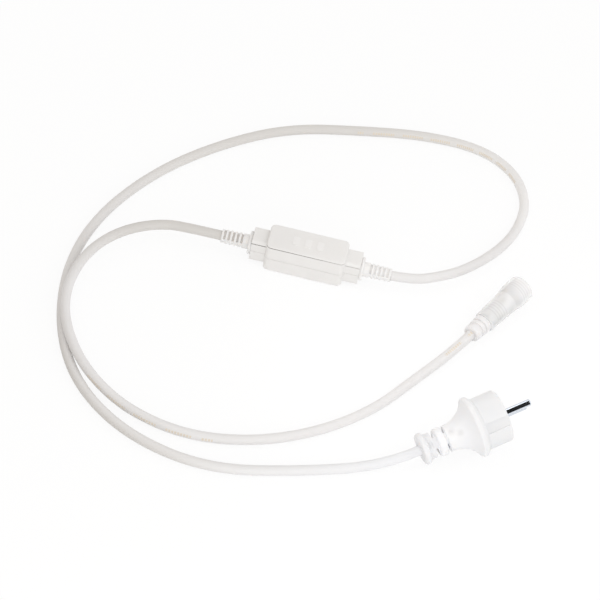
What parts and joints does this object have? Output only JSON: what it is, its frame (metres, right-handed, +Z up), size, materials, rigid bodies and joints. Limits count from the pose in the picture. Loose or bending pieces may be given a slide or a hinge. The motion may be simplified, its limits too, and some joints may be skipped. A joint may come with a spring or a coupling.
{
  "type": "power cord",
  "caption": "White power cord for a light strip: round flanged mains plug, in-line rectifier box with ribbed strain reliefs, and a connector with a translucent screw collar.",
  "frame": {"origin": "middle of the rectifier box's underside, on the floor that the whole set lies on", "axes": "+X along the box towards the plug's cord, +Z up"},
  "size_m": [0.3344, 0.3568, 0.044],
  "materials": {
    "case_white": "fine satin",
    "relief_white": "satin",
    "cord_white": "satin",
    "plug_white": "satin",
    "bridge_white": "satin",
    "pin_metal": "polished plating",
    "connector_white": "satin",
    "nut_clear": "milky translucent",
    "insert_grey": "satin",
    "contact_brass": "plain",
    "seal_grey": "matt",
    "board_green": "satin",
    "rectifier_black": "matt",
    "fuse_brown": "satin",
    "core_brown": "satin",
    "core_blue": "satin",
    "core_red": "satin",
    "core_black": "satin"
  },
  "bodies": {
    "cord_set": {"lower_shell": "case_white", "upper_shell": "case_white", "circuit_board": "board_green", "bridge_rectifier": "rectifier_black", "fuse": "fuse_brown", "input_live_lead": "core_brown", "input_neutral_lead": "core_blue", "output_positive_lead": "core_red", "output_negative_lead": "core_black", "input_strain_relief": "relief_white", "output_strain_relief": "relief_white", "input_cord": "cord_white", "output_cord": "cord_white", "plug_body": "plug_white", "pin_bridge": "bridge_white", "live_pin": "pin_metal", "neutral_pin": "pin_metal", "plug_live_lead": "core_brown", "plug_neutral_lead": "core_blue", "connector_body": "connector_white", "contact_insert": "insert_grey", "positive_contact": "contact_brass", "negative_contact": "contact_brass", "sealing_ring": "seal_grey", "connector_positive_lead": "core_red", "connector_negative_lead": "core_black"},
    "nut": {"coupling_nut": "nut_clear"}
  },
  "joints": [
    {"name": "nut_spin", "type": "hinge", "parent": "cord_set", "child": "nut", "pos_m": [0.14221, -0.00012, 0.00905], "axis": [0.4807, 0.8744, 0.0653], "continuous": true}
  ]
}
